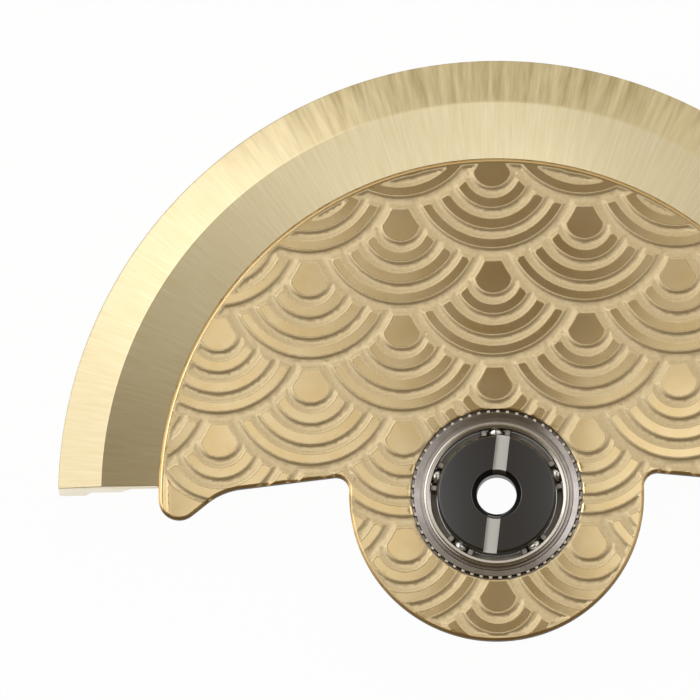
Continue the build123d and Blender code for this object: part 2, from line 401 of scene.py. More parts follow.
# %% Cut a net along a level of a function
def cut_along(points, triangles, function, level=0.0, snap=0.004):
    """Split the triangles where function equals level.

    The crossing on each edge is found by three steps of false position. A point closer to
    the curve than snap counts as on it, so no sliver is made beside it. A triangle that is
    crossed on one side becomes two, and one that is crossed on two sides becomes three.
    """
    value = function(points) - level
    value[np.abs(value) < snap] = 0
    ends = np.sort(np.stack([triangles, np.roll(triangles, -1, 1)], -1), -1)
    crossing = value[ends[..., 0]] * value[ends[..., 1]] < 0
    keys, inverse = np.unique(ends[crossing], axis=0, return_inverse=True)
    inverse = inverse.ravel()
    a, b = points[keys[:, 0]], points[keys[:, 1]]
    fa, fb = value[keys[:, 0]].copy(), value[keys[:, 1]].copy()
    for _ in range(3):
        middle = a + (fa / (fa - fb))[:, None] * (b - a)
        fm = function(middle) - level
        same = (fm * fa > 0)[:, None]
        a, b = np.where(same, middle, a), np.where(same, b, middle)
        fa, fb = np.where(same[:, 0], fm, fa), np.where(same[:, 0], fb, fm)
        # where the crossing is already exact, the next division would be by nothing
        stuck = np.abs(fa - fb) < 1e-9
        fa = np.where(stuck, fa + 1e-9, fa)
    number = np.full(crossing.shape, -1)
    number[crossing] = len(points) + inverse
    points = np.concatenate([points, middle])
    count = crossing.sum(1)
    made = [triangles[count == 0]]
    for turn in range(3):
        t, n = np.roll(triangles, -turn, 1), np.roll(number, -turn, 1)
        one = (count == 1) & (n[:, 0] >= 0)
        a, b, c, m = t[one, 0], t[one, 1], t[one, 2], n[one, 0]
        made += [np.stack([a, m, c], 1), np.stack([m, b, c], 1)]
        two = (count == 2) & (n[:, 0] >= 0) & (n[:, 2] >= 0)
        a, b, c, m, k = t[two, 0], t[two, 1], t[two, 2], n[two, 0], n[two, 2]
        made += [np.stack([a, m, k], 1)]
        short = (np.linalg.norm(points[m] - points[c], axis=1)
                 < np.linalg.norm(points[b] - points[k], axis=1))[:, None]
        made += [np.where(short, np.stack([m, b, c], 1), np.stack([m, b, k], 1)),
                 np.where(short, np.stack([m, c, k], 1), np.stack([b, c, k], 1))]
    return points, np.concatenate(made)


# %% [markdown]
# ## The engraved plate
#
# The plate's upper face is a height over its plan: the groove floor, plus a smooth step up to
# the raised parts, less a rounding along the outline and round the hole. A graver leaves the
# floor of a groove a little hollow, so part of the step is a curve at the foot of each side.
# The same formula gives the shading normals.

# %% Height of the plate's upper face
relief_depth = 0.065
side_end = 0.009             # flat left between a sloping side and the row of points beside it
hollow, hollow_width = 0.22, 0.08    # share of the depth and width of the groove floor's curve
edge_width, edge_fall = 0.10, 0.05
hole_edge_width, hole_edge_fall = 0.06, 0.04


def edge_distance(points):
    """Distance inwards from the plate's outline."""
    return edge_of_plate(points)[0]


def hole_distance(points):
    """Distance outwards from the edge of the plate's hole."""
    return np.hypot(points[:, 0], points[:, 1]) - hole_radius


def raised_share(points):
    """Smooth step of the raised distance, from 0 in a groove to 1 on a raised part.

    The groove's floor is hollow: part of the rise is a parabola at the foot of the side.
    """
    distance = raised_distance(points)
    step = np.clip(distance / (steep_side - 2 * side_end) + 0.5, 0, 1)
    foot = np.clip(1 + (distance + steep_side / 2) / hollow_width, 0, 1)
    return (1 - hollow) * step * step * (3 - 2 * step) + hollow * foot * foot


def plate_height(points):
    """Height of the upper face: top, less the depth times the share that isn't raised.

    Each edge rounding is a parabola that falls by its own depth over its own width.
    """
    height = plate_top - relief_depth * (1 - raised_share(points))
    outer = np.clip(1 - edge_distance(points) / edge_width, 0, 1)
    inner = np.clip(1 - hole_distance(points) / hole_edge_width, 0, 1)
    return height - edge_fall * outer ** 2 - hole_edge_fall * inner ** 2


def slope_normals(function, points, step=0.004):
    """Normals of a height function, from its differences over a small step each way."""
    across, along = np.array([step, 0]), np.array([0, step])
    fall_x = (function(points - across) - function(points + across)) / (2 * step)
    fall_y = (function(points - along) - function(points + along)) / (2 * step)
    return unit(np.stack([fall_x, fall_y, np.ones(len(points))], 1))


print("grooves", relief_depth, "mm deep in a plate", round(plate_top - plate_underside, 2), "mm thick")

# %% [markdown]
# The net is cut first along the outline and the hole, and then along each line where the
# height's formula changes: the foot and the top of every side, two lines between them, and the
# inner ends of the two roundings.

# %% Net of the upper face
net_spacing = 0.13
frost_margin = 0.02          # frosting fades out this far past the sloping sides

plan, net = triangle_net((-plate_radius, -lobe_radius), (plate_radius, plate_radius), net_spacing)
for distance_from in (edge_distance, hole_distance):
    net = net[(distance_from(plan)[net] > -net_spacing).any(1)]
for distance_from in (edge_distance, hole_distance):
    plan, net = cut_along(plan, net, distance_from)
    net = net[distance_from(plan[net].mean(1)) > 0]
for level in (-steep_side / 2 - hollow_width, -steep_side / 2, -steep_side / 5,
              steep_side / 5, steep_side / 2, steep_side / 2 + frost_margin):
    plan, net = cut_along(plan, net, raised_distance, level)
for distance_from, level in [(edge_distance, 0.4 * edge_width), (edge_distance, edge_width),
                             (hole_distance, hole_edge_width)]:
    plan, net = cut_along(plan, net, distance_from, level)
used, net = np.unique(net, return_inverse=True)
plan, net = plan[used], net.reshape(-1, 3)
print("grooves and bands:", len(plan), "points", len(net), "triangles")

# %% [markdown]
# The wall hangs from the open edges of the net. The underside is flat, so it needs no points
# but those of the two loops, and long triangles fill it.

# %% Helpers that close a piece
def open_edges(triangles):
    """Edges that only one triangle has, each in that triangle's own direction."""
    edges = np.stack([triangles, np.roll(triangles, -1, 1)], -1).reshape(-1, 2)
    _, inverse, count = np.unique(np.sort(edges, 1), axis=0,
                                  return_inverse=True, return_counts=True)
    return edges[count[inverse.ravel()] == 1]


def filled(loops):
    """Triangles between closed loops of plan points, all counterclockwise from above.

    Blender's own filling takes only its own vectors, so the loops are turned into those.
    """
    corners = [[Vector((*spot, 0)) for spot in loop.tolist()] for loop in loops]
    triangles = np.array(tessellate_polygon(corners))
    a, b, c = np.moveaxis(np.concatenate(loops)[triangles], 1, 0)
    clockwise = np.cross(b - a, c - a) < 0
    triangles[clockwise] = triangles[clockwise][:, ::-1]
    return triangles


def facing(faces, direction):
    """The same normal for every corner of the faces."""
    return np.broadcast_to(np.array(direction, float), faces.shape + (3,))


rim = open_edges(net)
print("open edges", len(rim))


# %% Wall and underside
def outward(points):
    """Level normals of the wall: against the way in which the nearer edge distance grows."""
    def inside(spots):
        return np.minimum(edge_distance(spots), hole_distance(spots))
    normals = slope_normals(inside, points)
    normals[:, 2] = 0
    return unit(normals)


rim_points = np.unique(rim)
below = np.full(len(plan), -1)
below[rim_points] = len(plan) + np.arange(len(rim_points))
wall = np.stack([rim[:, 1], rim[:, 0], below[rim[:, 0]], below[rim[:, 1]]], 1)

rim_plan = plan[rim_points]
from_edge, along = edge_of_plate(rim_plan)
is_outer = from_edge < hole_distance(rim_plan)
round_hole = np.arctan2(rim_plan[:, 1], rim_plan[:, 0])
outer_loop = rim_points[is_outer][np.argsort(along[is_outer])]
hole_loop = rim_points[~is_outer][np.argsort(round_hole[~is_outer])]
order = below[np.concatenate([outer_loop, hole_loop])]
underside = order[filled([plan[outer_loop], plan[hole_loop]])[:, ::-1]]

plate_points = np.concatenate([
    np.column_stack([plan, plate_height(plan)]),
    np.column_stack([rim_plan, np.full(len(rim_plan), plate_underside)])])
face_normals = slope_normals(plate_height, plan)
wall_normals = np.zeros((len(plate_points), 3))
wall_normals[rim_points] = outward(rim_plan)
wall_normals[below[rim_points]] = wall_normals[rim_points]
plate = build("engraved_plate", plate_points, [net, wall, underside],
              [face_normals[net], wall_normals[wall], facing(underside, (0, 0, -1))])

# %% [markdown]
# The plate's finish differs from place to place, so its mesh carries three marks. Frosting
# covers the grooves and their sides, but not the plain tips of the feet. The rounded outline is
# part frosted and painted a deeper gold, and the wall dull and dark brown: both painted shade.

# %% Marks for the plate's finish
outline_frost = 0.6


def mark(name, domain, *values):
    """One number for each point or face of the plate, which its finish reads by name."""
    attribute = plate.data.attributes.new(name, "FLOAT", domain)
    attribute.data.foreach_set("value", np.concatenate(values).astype(np.float32))


near_edge = np.clip(2 - edge_distance(plan) / edge_width * 2, 0, 1)
grooves = (steep_side / 2 + frost_margin - raised_distance(plan)) / (2 * frost_margin)
plain = np.clip((foot_tip(plan) - steep_side / 2) / hollow_width, 0, 1)
frosted = np.clip(grooves, 0, 1) * (1 - plain) * (1 - near_edge)
on_wall = np.ones(len(rim_points))
mark("frosted", "POINT", np.maximum(frosted, outline_frost * near_edge), outline_frost * on_wall)
# The outline's and the wall's marks carry painted shade: deeper gold, and dull dark brown.
mark("outline", "POINT", near_edge, on_wall)
mark("painted_dark_wall", "FACE", np.zeros(len(net)), np.ones(len(wall)), np.zeros(len(underside)))
print("frosted points", int((frosted > 0.5).sum()))

# %% [markdown]
# ## The weight
#
# The heavy half ring is turned, so its section is a profile, carried along the arc. Its two
# end faces are milled along one straight line, not square to the arc, so each point of the
# profile starts and ends at the angle where it meets that line.

# %% Half-ring weight
weight_corners = [           # radius, height and rounding, from the bore round by the underside
    (weight_bore_radius, flat_top, 0.012), (weight_bore_radius, plate_underside, 0.02),
    (ledge_radius, plate_underside, 0.03), (ledge_radius, ledge_bottom, 0.05),
    (11.00, ledge_bottom, 0.10), (11.36, middle_bottom, 0.08),
    (12.25, middle_bottom, 0.08), (12.42, weight_bottom, 0.06),
    (rotor_radius, weight_bottom, 0.10), (rotor_radius, bevel_foot, 0.05),
    (bevel_radius, flat_top, 0.03)]
end_bevel = 0.03             # width of the bevel round each end face
weight_columns = 260


def along_weight(section, line, share):
    """Angles of the section's points carried round, from each one's own end to its mirror image.

    A point ends where its circle meets the line: at the arc sine of height over radius.
    """
    start = np.arcsin(line / section[:, :1])
    return start + share * (np.pi - 2 * start)


profile, lean = rounded(weight_corners)
inset = profile - end_bevel * lean
angle = along_weight(profile, weight_end + end_bevel, np.linspace(0, 1, weight_columns))
ends = around(inset[:, None], along_weight(inset, weight_end, np.array([0.0, 1.0])))
points = np.concatenate([ends[:, :1], around(profile[:, None], angle), ends[:, 1:]], 1)
forward = np.broadcast_to([0.0, -1.0, 0.0], ends.shape)
normals = np.concatenate([forward[:, :1], around(lean[:, None], angle), forward[:, 1:]], 1)
columns = points.shape[1]
faces = ring_faces(len(profile), columns, True, False)
cap = filled([inset])
right_cap, left_cap = cap * columns, cap[:, ::-1] * columns + columns - 1
cap_normals = facing(cap, (0, -1, 0))
weight = build("half_ring_weight", points.reshape(-1, 3), [faces, right_cap, left_cap],
               [normals.reshape(-1, 3)[faces], cap_normals, cap_normals])

# %% [markdown]
# ## The bearing
#
# The outer ring is one turned piece. A sleeve carries the gear, a shoulder carries the plate,
# and a collar fills the plate's hole. Its top is dished inwards by 9 degrees, and a narrow
# recess parts it from the lip round the balls, whose top slopes inwards too. The inner race is
# in two halves, so that the balls can be put in: a core below, and above it a polished disc
# with a slot for a screwdriver.

# %% Outer ring and core
ball_circle_radius = 1.91
ball_radius = 0.25
ball_height = 0.55
flange_radius = 1.80
lip_radius = 2.02
race_reach = 0.3818          # ball centre to the apex of a race
flange_rise = 0.2718         # apex to the edge of a race, in height

outer_ring = turned("bearing_ring", [
    (lip_radius + 0.07, 0.06, 0.02), (2.45, 0.06, 0.03), (2.45, 0.42, 0.02),
    (2.85, 0.42, 0.03), (2.85, plate_underside, 0.03), (2.50, plate_underside, 0.02),
    (2.50, 0.86, 0.02), (2.33, 0.832, 0.02), (2.28, 0.79, 0.02), (2.21, 0.79, 0.03),
    (2.19, 0.86, 0.02), (2.14, 0.87, 0.02), (2.11, 0.93, 0.02), (2.095, 0.93, 0.01),
    (lip_radius, 0.897, 0.01), (lip_radius, ball_height + flange_rise, 0.01),
    (ball_circle_radius + race_reach, ball_height, 0.25),
    (lip_radius, ball_height - flange_rise, 0.01), (lip_radius, 0.13, 0.02)])
core = turned("bearing_core", [
    (0.60, 0.00, 0.03), (1.30, 0.00, 0.03), (1.30, 0.12, 0.02), (flange_radius, 0.12, 0.04),
    (flange_radius, ball_height - flange_rise, 0.01),
    (ball_circle_radius - race_reach, ball_height, 0.002), (1.05, ball_height, 0.01),
    (1.05, 0.80, 0.01), (0.60, 0.80, 0.01)])

# %% [markdown]
# The slot runs straight across the disc, but the disc is turned. The grid's columns follow
# this: at each radius they are spread between the slot's two sides, whose angle is the arc
# sine of half the slot's width over the radius. Inside the slot the height is held at its
# floor. Each half of the disc has one straight wall, and its normal faces the slot.

# %% Slotted disc
slot_half = 0.195
slot_floor = 0.90
slot_turn = np.radians(90 - 7.3)
wall_run = 0.008             # width in plan of the slot's steep walls
slot_samples, side_samples = 6, 90
disc_mouth, disc_top = 0.75, 1.05

profile, lean = rounded([
    (0.60, 0.80, 0.005), (1.05, 0.80, 0.005), (1.05, ball_height, 0.01),
    (ball_circle_radius - race_reach, ball_height, 0.002),
    (flange_radius, ball_height + flange_rise, 0.01), (flange_radius, 0.98, 0.03),
    (flange_radius - 0.07, disc_top, 0.02), (disc_mouth, disc_top, 0.02)])
radius = profile[:, :1]
edge = np.arcsin(slot_half / radius)
lip = np.arcsin((slot_half + wall_run) / radius)
half_turn = np.concatenate([
    edge * np.linspace(-1, 1, slot_samples),
    lip + np.linspace(0, 1, side_samples) * (np.pi - 2 * lip)], 1)
angle = np.concatenate([half_turn, half_turn + np.pi], 1) + slot_turn
half = slot_samples + side_samples
in_slot = np.arange(2 * half) % half < slot_samples
points = around(profile[:, None], angle)
held = in_slot & (points[..., 2] > slot_floor)
points[held, 2] = slot_floor
normals = around(lean[:, None], angle)
normals[held] = (0, 0, 1)
faces = ring_faces(*angle.shape)
corner_normals = normals.reshape(-1, 3)[faces]
column = faces[:, 0] % (2 * half)
above_floor = points[..., 2].reshape(-1)[faces].min(1) >= slot_floor
for arm in (0, 1):
    towards_slot = slot_turn + np.pi * (arm - 0.5)
    at_wall = np.isin(column - arm * half, (slot_samples - 1, half - 1)) & above_floor
    corner_normals[at_wall] = (np.cos(towards_slot), np.sin(towards_slot), 0)
disc = build("slotted_disc_piece", points.reshape(-1, 3), [faces], [corner_normals])

# %% [markdown]
# The balls are lapped steel, round to less than a thousandth of a millimetre, so a plain
# sphere is their exact shape. It is a grid of turned rows, closed by a fan of triangles at
# each pole.

# %% Balls
ball_angle = np.radians(90 + 72 * np.arange(5))
rows, columns = 22, 48       # without the poles
tilt = np.linspace(-np.pi / 2, np.pi / 2, rows + 2)[1:-1, None]
turn = np.linspace(0, 2 * np.pi, columns, endpoint=False)
shell = around(np.stack([np.cos(tilt), np.sin(tilt)], -1), turn).reshape(-1, 3)
shell = np.concatenate([shell, [[0, 0, -1], [0, 0, 1]]])
here = np.arange(columns)
there = (here + 1) % columns
south, north = np.full(columns, len(shell) - 2), np.full(columns, len(shell) - 1)
last_row = (rows - 1) * columns
shell_faces = [ring_faces(rows, columns, False, True), np.stack([there, here, south], 1),
               np.stack([last_row + here, last_row + there, north], 1)]
shell_normals = [shell[part] for part in shell_faces]
balls = []
for number, at in enumerate(ball_angle, start=1):
    centre = around(np.array([ball_circle_radius, ball_height]), at)
    balls.append(build(f"steel_ball_{number}", centre + ball_radius * shell,
                       shell_faces, shell_normals))

# %% [markdown]
# The crown cage keeps the balls apart. It is stamped from thin sheet: a flat ring with two
# fingers beside each ball. Its section is a rectangle with bevelled corners, and the height of
# its top is a function of the angle alone.

# %% Crown cage
cage_inner, cage_outer = 1.812, 2.008
cage_bottom, cage_base, finger_top = 0.13, 0.27, 0.75
pocket, finger_end = 0.275, 0.46     # along the circle, from the ball's centre
finger_wall = 0.004                  # width in plan of a finger's steep sides
soft = 0.03                          # bevel of a finger's corners
edge = 0.02                          # bevel of the section's corners
gap_columns = 12

steps = np.array([pocket, pocket + finger_wall, pocket + soft, finger_end - soft,
                  finger_end - finger_wall, finger_end])
side_top = 1 - soft / (finger_top - cage_base)
rise = np.array([0, side_top, 1, 1, side_top, 0])
offsets = np.concatenate([-steps[::-1], steps]) / ball_circle_radius
heights = cage_base + np.concatenate([rise[::-1], rise]) * (finger_top - cage_base)
gap_share = np.linspace(0, 1, gap_columns + 2)[1:-1]
gap_angle = offsets[-1] + gap_share * (2 * np.pi / 5 - 2 * offsets[-1])
angle = (ball_angle[:, None] + np.concatenate([offsets, gap_angle])).reshape(-1)
top = np.tile(np.concatenate([heights, np.full(gap_columns, cage_base)]), 5)
section_radius = np.array([cage_inner, cage_inner + edge, cage_outer - edge, cage_outer,
                           cage_outer, cage_outer - edge, cage_inner + edge, cage_inner])
lift = np.array([edge, 0, 0, edge, -edge, 0, 0, -edge])
is_low = np.array([1, 1, 1, 1, 0, 0, 0, 0], bool)
height = np.where(is_low[:, None], cage_bottom, top) + lift[:, None]
section = np.stack(np.broadcast_arrays(section_radius[:, None], height), -1)
cage = build("crown_cage", around(section, angle).reshape(-1, 3), [ring_faces(*height.shape)])

# %% [markdown]
# The gear that drives the winding train sits under the plate, on the ring's sleeve. The ring's
# collar is knurled: its small teeth bite into the plate's hole. Both are the same form, a ring
# whose outer side follows the outline of its teeth.

# %% Gear and knurl
tooth_crown = 0.06           # the middle of a tip stands out by this share of the tooth's depth


def toothed(name, count, root, tip, bore, bottom, top, root_end, tip_start, edge):
    """Ring with teeth: root and tip radius in turn round the outer side, and a round bore.

    root_end and tip_start are shares of a tooth's spacing, and the second flank mirrors the
    first. edge is the size of the bevel at each of the section's corners.
    """
    spots = np.array([0, root_end, tip_start, 0.5, 1 - tip_start, 1 - root_end])
    radii = np.array([root, root, tip, tip + (tip - root) * tooth_crown, tip, root])
    angle = ((np.arange(count)[:, None] + spots) * 2 * np.pi / count).reshape(-1)
    at_bore = np.array([1, 1, 0, 0, 0, 0, 1, 1], bool)[:, None]
    bevel = np.array([0, edge, -edge, 0, 0, -edge, edge, 0])[:, None]
    radius = np.where(at_bore, bore, np.tile(radii, count)) + bevel
    height = np.array([bottom + edge, bottom, bottom, bottom + edge,
                       top - edge, top, top, top - edge])[:, None]
    section = np.stack(np.broadcast_arrays(radius, height), -1)
    return build(name, around(section, angle).reshape(-1, 3), [ring_faces(*radius.shape)],
                 sharp=0.5)


gear = toothed("winding_gear", count=60, root=2.855, tip=3.08, bore=2.46, bottom=0.14, top=0.42,
               root_end=0.19, tip_start=0.37, edge=0.02)
knurl = toothed("knurled_collar", count=55, root=2.50, tip=2.575, bore=2.45,
                bottom=plate_underside + 0.01, top=0.84, root_end=0.30, tip_start=0.38,
                edge=0.015)

# %% [markdown]
# ## Finishes
#
# Each finish starts from the real metal and how its surface was made. Colours are the ones
# the eye sees under plain white light, written as hex codes. Every pattern is worked out in
# millimetres from the piece's own coordinates, so it stays on the piece as the rotor turns.

# %% Colour and node helpers
def colour(code):
    """Hex code to linear red, green, blue and alpha, by the sRGB curve."""
    value = np.array([int(code[k:k + 2], 16) for k in (1, 3, 5)]) / 255
    linear = np.where(value <= 0.04045, value / 12.92, ((value + 0.055) / 1.055) ** 2.4)
    return (*linear.tolist(), 1.0)


def add(tree, kind, *pairs):
    """Add a node, and give it pairs of a socket or property and a value.

    A value that is an output is linked, and a node as a value stands for its first output.
    """
    node = tree.nodes.new(kind)
    for key, value in pairs:
        if isinstance(value, bpy.types.Node):
            value = value.outputs[0]
        if isinstance(value, bpy.types.NodeSocket):
            tree.links.new(value, node.inputs[key])
        elif isinstance(key, int) or key in node.inputs:
            node.inputs[key].default_value = value
        else:
            setattr(node, key, value)
    return node


def new_material(name):
    """Material with an empty node tree."""
    material = bpy.data.materials.new(name)
    material.use_nodes = True
    material.node_tree.nodes.clear()
    return material, material.node_tree


def in_millimetres(tree):
    """Object coordinates, multiplied so that one unit is a millimetre."""
    spot = add(tree, "ShaderNodeTexCoord").outputs["Object"]
    return add(tree, "ShaderNodeVectorMath", ("operation", "SCALE"), (0, spot), ("Scale", 1 / MM))


def tinted(tree, noise, dark, light):
    """Mix of two colours by a noise, whose values lie mostly between 0.3 and 0.7.

    A mix node's two colours are its sockets 6 and 7, and their mix is its output 2.
    """
    share = add(tree, "ShaderNodeMapRange", ("Value", noise), ("From Min", 0.3), ("From Max", 0.7))
    return add(tree, "ShaderNodeMix", ("data_type", "RGBA"), ("Factor", share),
               (6, colour(dark)), (7, colour(light))).outputs[2]


# %% [markdown]
# The weight is plated in pale gold and then brushed across, from the inside to the outside of
# the ring. Brushed metal mirrors sharply along the lines and smears across them, so its flat
# bands change tone round the arc. That is the anisotropic setting, with the tangent across
# the lines. Real lines are about 0.02 mm apart, too fine to show, so they are drawn 0.09 mm
# wide, over broader strokes of 0.28 mm. The bevel was brushed by hand after the flat, and its
# coarse strokes grow stronger towards the middle of the arc.

# %% Lines across the ring
streak_radius = 12.0         # the widths are true at this distance from the axis


def radial_streaks(tree, spot, width, length, seed):
    """Noise stretched along the radius: arc length over its width, radius over its length."""
    parts = add(tree, "ShaderNodeSeparateXYZ", (0, spot))
    angle = add(tree, "ShaderNodeMath", ("operation", "ARCTAN2"),
                (0, parts.outputs["Y"]), (1, parts.outputs["X"]))
    reach = add(tree, "ShaderNodeVectorMath", ("operation", "LENGTH"), (0, spot))
    across = add(tree, "ShaderNodeMath", ("operation", "MULTIPLY"),
                 (0, angle), (1, streak_radius / width))
    along = add(tree, "ShaderNodeMath", ("operation", "MULTIPLY"),
                (0, reach.outputs["Value"]), (1, 1 / length))
    spread = add(tree, "ShaderNodeCombineXYZ", ("X", across), ("Y", along), ("Z", seed))
    return add(tree, "ShaderNodeTexNoise", ("Scale", 1.0), ("Detail", 3.0), ("Roughness", 0.6),
               ("Vector", spread))


def across_the_lines(tree, spot):
    """Direction across a radial line: the Z axis crossed with the point's own place."""
    crossed = add(tree, "ShaderNodeVectorMath", ("operation", "CROSS_PRODUCT"),
                  (0, (0, 0, 1)), (1, spot))
    return add(tree, "ShaderNodeVectorMath", ("operation", "NORMALIZE"), (0, crossed))


# %% Brushed gold of the weight
line_width, stroke_width = 0.09, 0.28
strokes_from, strokes_to = 9.8, 12.4     # values of y between which the coarse strokes come in


def brushed_gold():
    """Two tones of fine lines, times the coarse strokes, which are faint off the bevel."""
    material, tree = new_material("brushed pale gold plate")
    spot = in_millimetres(tree)
    parts = add(tree, "ShaderNodeSeparateXYZ", (0, spot))
    lines = radial_streaks(tree, spot, line_width, length=1.6, seed=1.0)
    strokes = radial_streaks(tree, spot, stroke_width, length=2.4, seed=5.0)
    fine = tinted(tree, lines, "#EDDFB5", "#F7ECCA")
    broad = tinted(tree, strokes, "#CAC4B4", "#FFFFFF")
    on_bevel = add(tree, "ShaderNodeMapRange", ("Value", parts.outputs["Z"]),
                   ("From Min", flat_top - 0.002), ("From Max", flat_top - 0.02), ("To Min", 0.25))
    to_middle = add(tree, "ShaderNodeMapRange", ("Value", parts.outputs["Y"]),
                    ("From Min", strokes_from), ("From Max", strokes_to), ("To Min", 0.05))
    coarse = add(tree, "ShaderNodeMath", ("operation", "MULTIPLY"), (0, on_bevel), (1, to_middle))
    base = add(tree, "ShaderNodeMix", ("data_type", "RGBA"), ("blend_type", "MULTIPLY"),
               ("Factor", coarse), (6, fine), (7, broad)).outputs[2]
    bump = add(tree, "ShaderNodeBump", ("Strength", 0.2), ("Distance", 0.004 * MM),
               ("Height", lines))
    shader = add(tree, "ShaderNodeBsdfPrincipled", ("Metallic", 1.0), ("Roughness", 0.28),
                 ("Anisotropic", 1.0), ("Base Color", base), ("Normal", bump),
                 ("Tangent", across_the_lines(tree, spot)))
    add(tree, "ShaderNodeOutputMaterial", ("Surface", shader))
    return material


# %% [markdown]
# The plate is gold plated over the cut pattern. Its raised bands and drops are polished, and
# the grooves are frosted, as if blasted with fine grit. Frost scatters light, so it stays pale
# from all sides, while the polished bands turn from bright to brown with what they mirror. The
# grit's grains are drawn 0.08 mm wide, about three times too coarse, so that they show. The
# rounded outline is painted a deeper gold and the wall a dull dark brown: both painted shade.

# %% Engraved gold of the plate
grain_scale, patch_scale = 12.0, 1.1     # grains of grit and patches of tone to the millimetre


def engraved_gold():
    """Frosted mark: polished to frosted. Painted shade: deeper outline, dull and dark wall."""
    material, tree = new_material("engraved gold plate")
    spot = in_millimetres(tree)
    # The outline's and the wall's marks carry painted shade.
    frosted, outline, cut = [
        add(tree, "ShaderNodeAttribute", ("attribute_name", name)).outputs["Fac"]
        for name in ("frosted", "outline", "painted_dark_wall")]
    grit = add(tree, "ShaderNodeTexNoise", ("Scale", grain_scale), ("Detail", 4.0),
               ("Vector", spot))
    patches = add(tree, "ShaderNodeTexNoise", ("Scale", patch_scale), ("Detail", 2.0),
                  ("Vector", spot))
    groove = tinted(tree, grit, "#E2D0AA", "#ECDDB9")
    polished = tinted(tree, patches, "#F0D6A0", "#F7E2B4")
    base = polished
    # Deeper gold on the outline and dark brown on the wall are painted shade.
    for amount, cover in [(frosted, groove), (outline, colour("#D6B67E")),
                          (cut, colour("#3E2612"))]:
        base = add(tree, "ShaderNodeMix", ("data_type", "RGBA"), ("Factor", amount),
                   (6, base), (7, cover)).outputs[2]
    rough = add(tree, "ShaderNodeMapRange", ("Value", frosted), ("To Min", 0.11), ("To Max", 0.55))
    tooth = add(tree, "ShaderNodeMath", ("operation", "MULTIPLY"), (0, grit), (1, frosted))
    bump = add(tree, "ShaderNodeBump", ("Strength", 0.3), ("Distance", 0.01 * MM),
               ("Height", tooth))
    # The wall is not metal, so that its painted shade stays dark.
    metal = add(tree, "ShaderNodeMath", ("operation", "SUBTRACT"), (0, 1.0), (1, cut))
    shader = add(tree, "ShaderNodeBsdfPrincipled", ("Specular IOR Level", 0.1),
                 ("Base Color", base), ("Roughness", rough), ("Metallic", metal),
                 ("Normal", bump))
    add(tree, "ShaderNodeOutputMaterial", ("Surface", shader))
    return material


# %% [markdown]
# Turned steel has fine rings about the axis, so its tangent lies along the radius. Inside its
# recess the ring is paler. The knurl is rolled, which leaves it bright and rough. The core is
# ground, and the wall of its bore is painted dark: painted shade, as the bore lies in its own
# shade. The gear is cut, the cage is stamped from dull sheet, and the balls are lapped to a
# mirror. Each steel is clouded in two tones, in patches a third of a millimetre wide.

# %% Steels
def from_the_axis(tree, spot):
    """Level vector from the axis to the point, and its length."""
    level = add(tree, "ShaderNodeVectorMath", ("operation", "MULTIPLY"), (0, spot), (1, (1, 1, 0)))
    length = add(tree, "ShaderNodeVectorMath", ("operation", "LENGTH"), (0, level))
    return level, length.outputs["Value"]


def steel(name, dark, light, roughness, turned_marks=0.0, middle=None):
    """Steel in two tones. turned_marks is the smear of fine rings.

    middle gives a radius in millimetres, and the colour inside it.
    """
    material, tree = new_material(name)
    spot = in_millimetres(tree)
    clouds = add(tree, "ShaderNodeTexNoise", ("Scale", 3.0), ("Detail", 5.0), ("Vector", spot))
    base = tinted(tree, clouds, dark, light)
    rings = []
    if turned_marks or middle:
        level, reach = from_the_axis(tree, spot)
    if middle:
        inside = add(tree, "ShaderNodeMath", ("operation", "LESS_THAN"), (0, reach),
                     (1, middle[0]))
        base = add(tree, "ShaderNodeMix", ("data_type", "RGBA"), ("Factor", inside),
                   (6, base), (7, colour(middle[1]))).outputs[2]
    if turned_marks:
        outwards = add(tree, "ShaderNodeVectorMath", ("operation", "NORMALIZE"), (0, level))
        rings = [("Anisotropic", turned_marks), ("Tangent", outwards)]
    shader = add(tree, "ShaderNodeBsdfPrincipled", ("Metallic", 1.0), ("Roughness", roughness),
                 ("Base Color", base), *rings)
    add(tree, "ShaderNodeOutputMaterial", ("Surface", shader))
    return material


# %% [markdown]
# The disc is black-polished: flat and smooth as a mirror, so it looks dark where it shows the
# dark side of the room. The polish covers its top and the cone round the bore. The slot's
# floor is ground, and pale.

# %% Black-polished disc
def polished_disc():
    """Black polish above the slot's floor and inside the mouth, ground steel elsewhere."""
    material, tree = new_material("black-polished steel")
    spot = in_millimetres(tree)
    height = add(tree, "ShaderNodeSeparateXYZ", (0, spot)).outputs["Z"]
    reach = from_the_axis(tree, spot)[1]
    on_top = add(tree, "ShaderNodeMapRange", ("Value", height),
                 ("From Min", slot_floor + 0.03), ("From Max", slot_floor + 0.06))
    in_mouth = add(tree, "ShaderNodeMath", ("operation", "LESS_THAN"),
                   (0, reach), (1, disc_mouth + 0.002))
    polished = add(tree, "ShaderNodeMath", ("operation", "MAXIMUM"), (0, on_top), (1, in_mouth))
    base = add(tree, "ShaderNodeMix", ("data_type", "RGBA"), ("Factor", polished),
               (6, colour("#D8D9D8")), (7, colour("#6E7075"))).outputs[2]
    rough = add(tree, "ShaderNodeMapRange", ("Value", polished), ("To Min", 0.5), ("To Max", 0.1))
    shader = add(tree, "ShaderNodeBsdfPrincipled", ("Metallic", 1.0),
                 ("Base Color", base), ("Roughness", rough))
    add(tree, "ShaderNodeOutputMaterial", ("Surface", shader))
    return material


# %% Dress the pieces
gold_plate, gold_weight = engraved_gold(), brushed_gold()
ring_steel = steel("turned steel", "#A6A19E", "#B8B3B0", 0.18, turned_marks=1.0,
                   middle=(2.2, "#D2CEC8"))
knurl_steel = steel("knurled steel", "#E0D6C2", "#EEE6D6", 0.4)
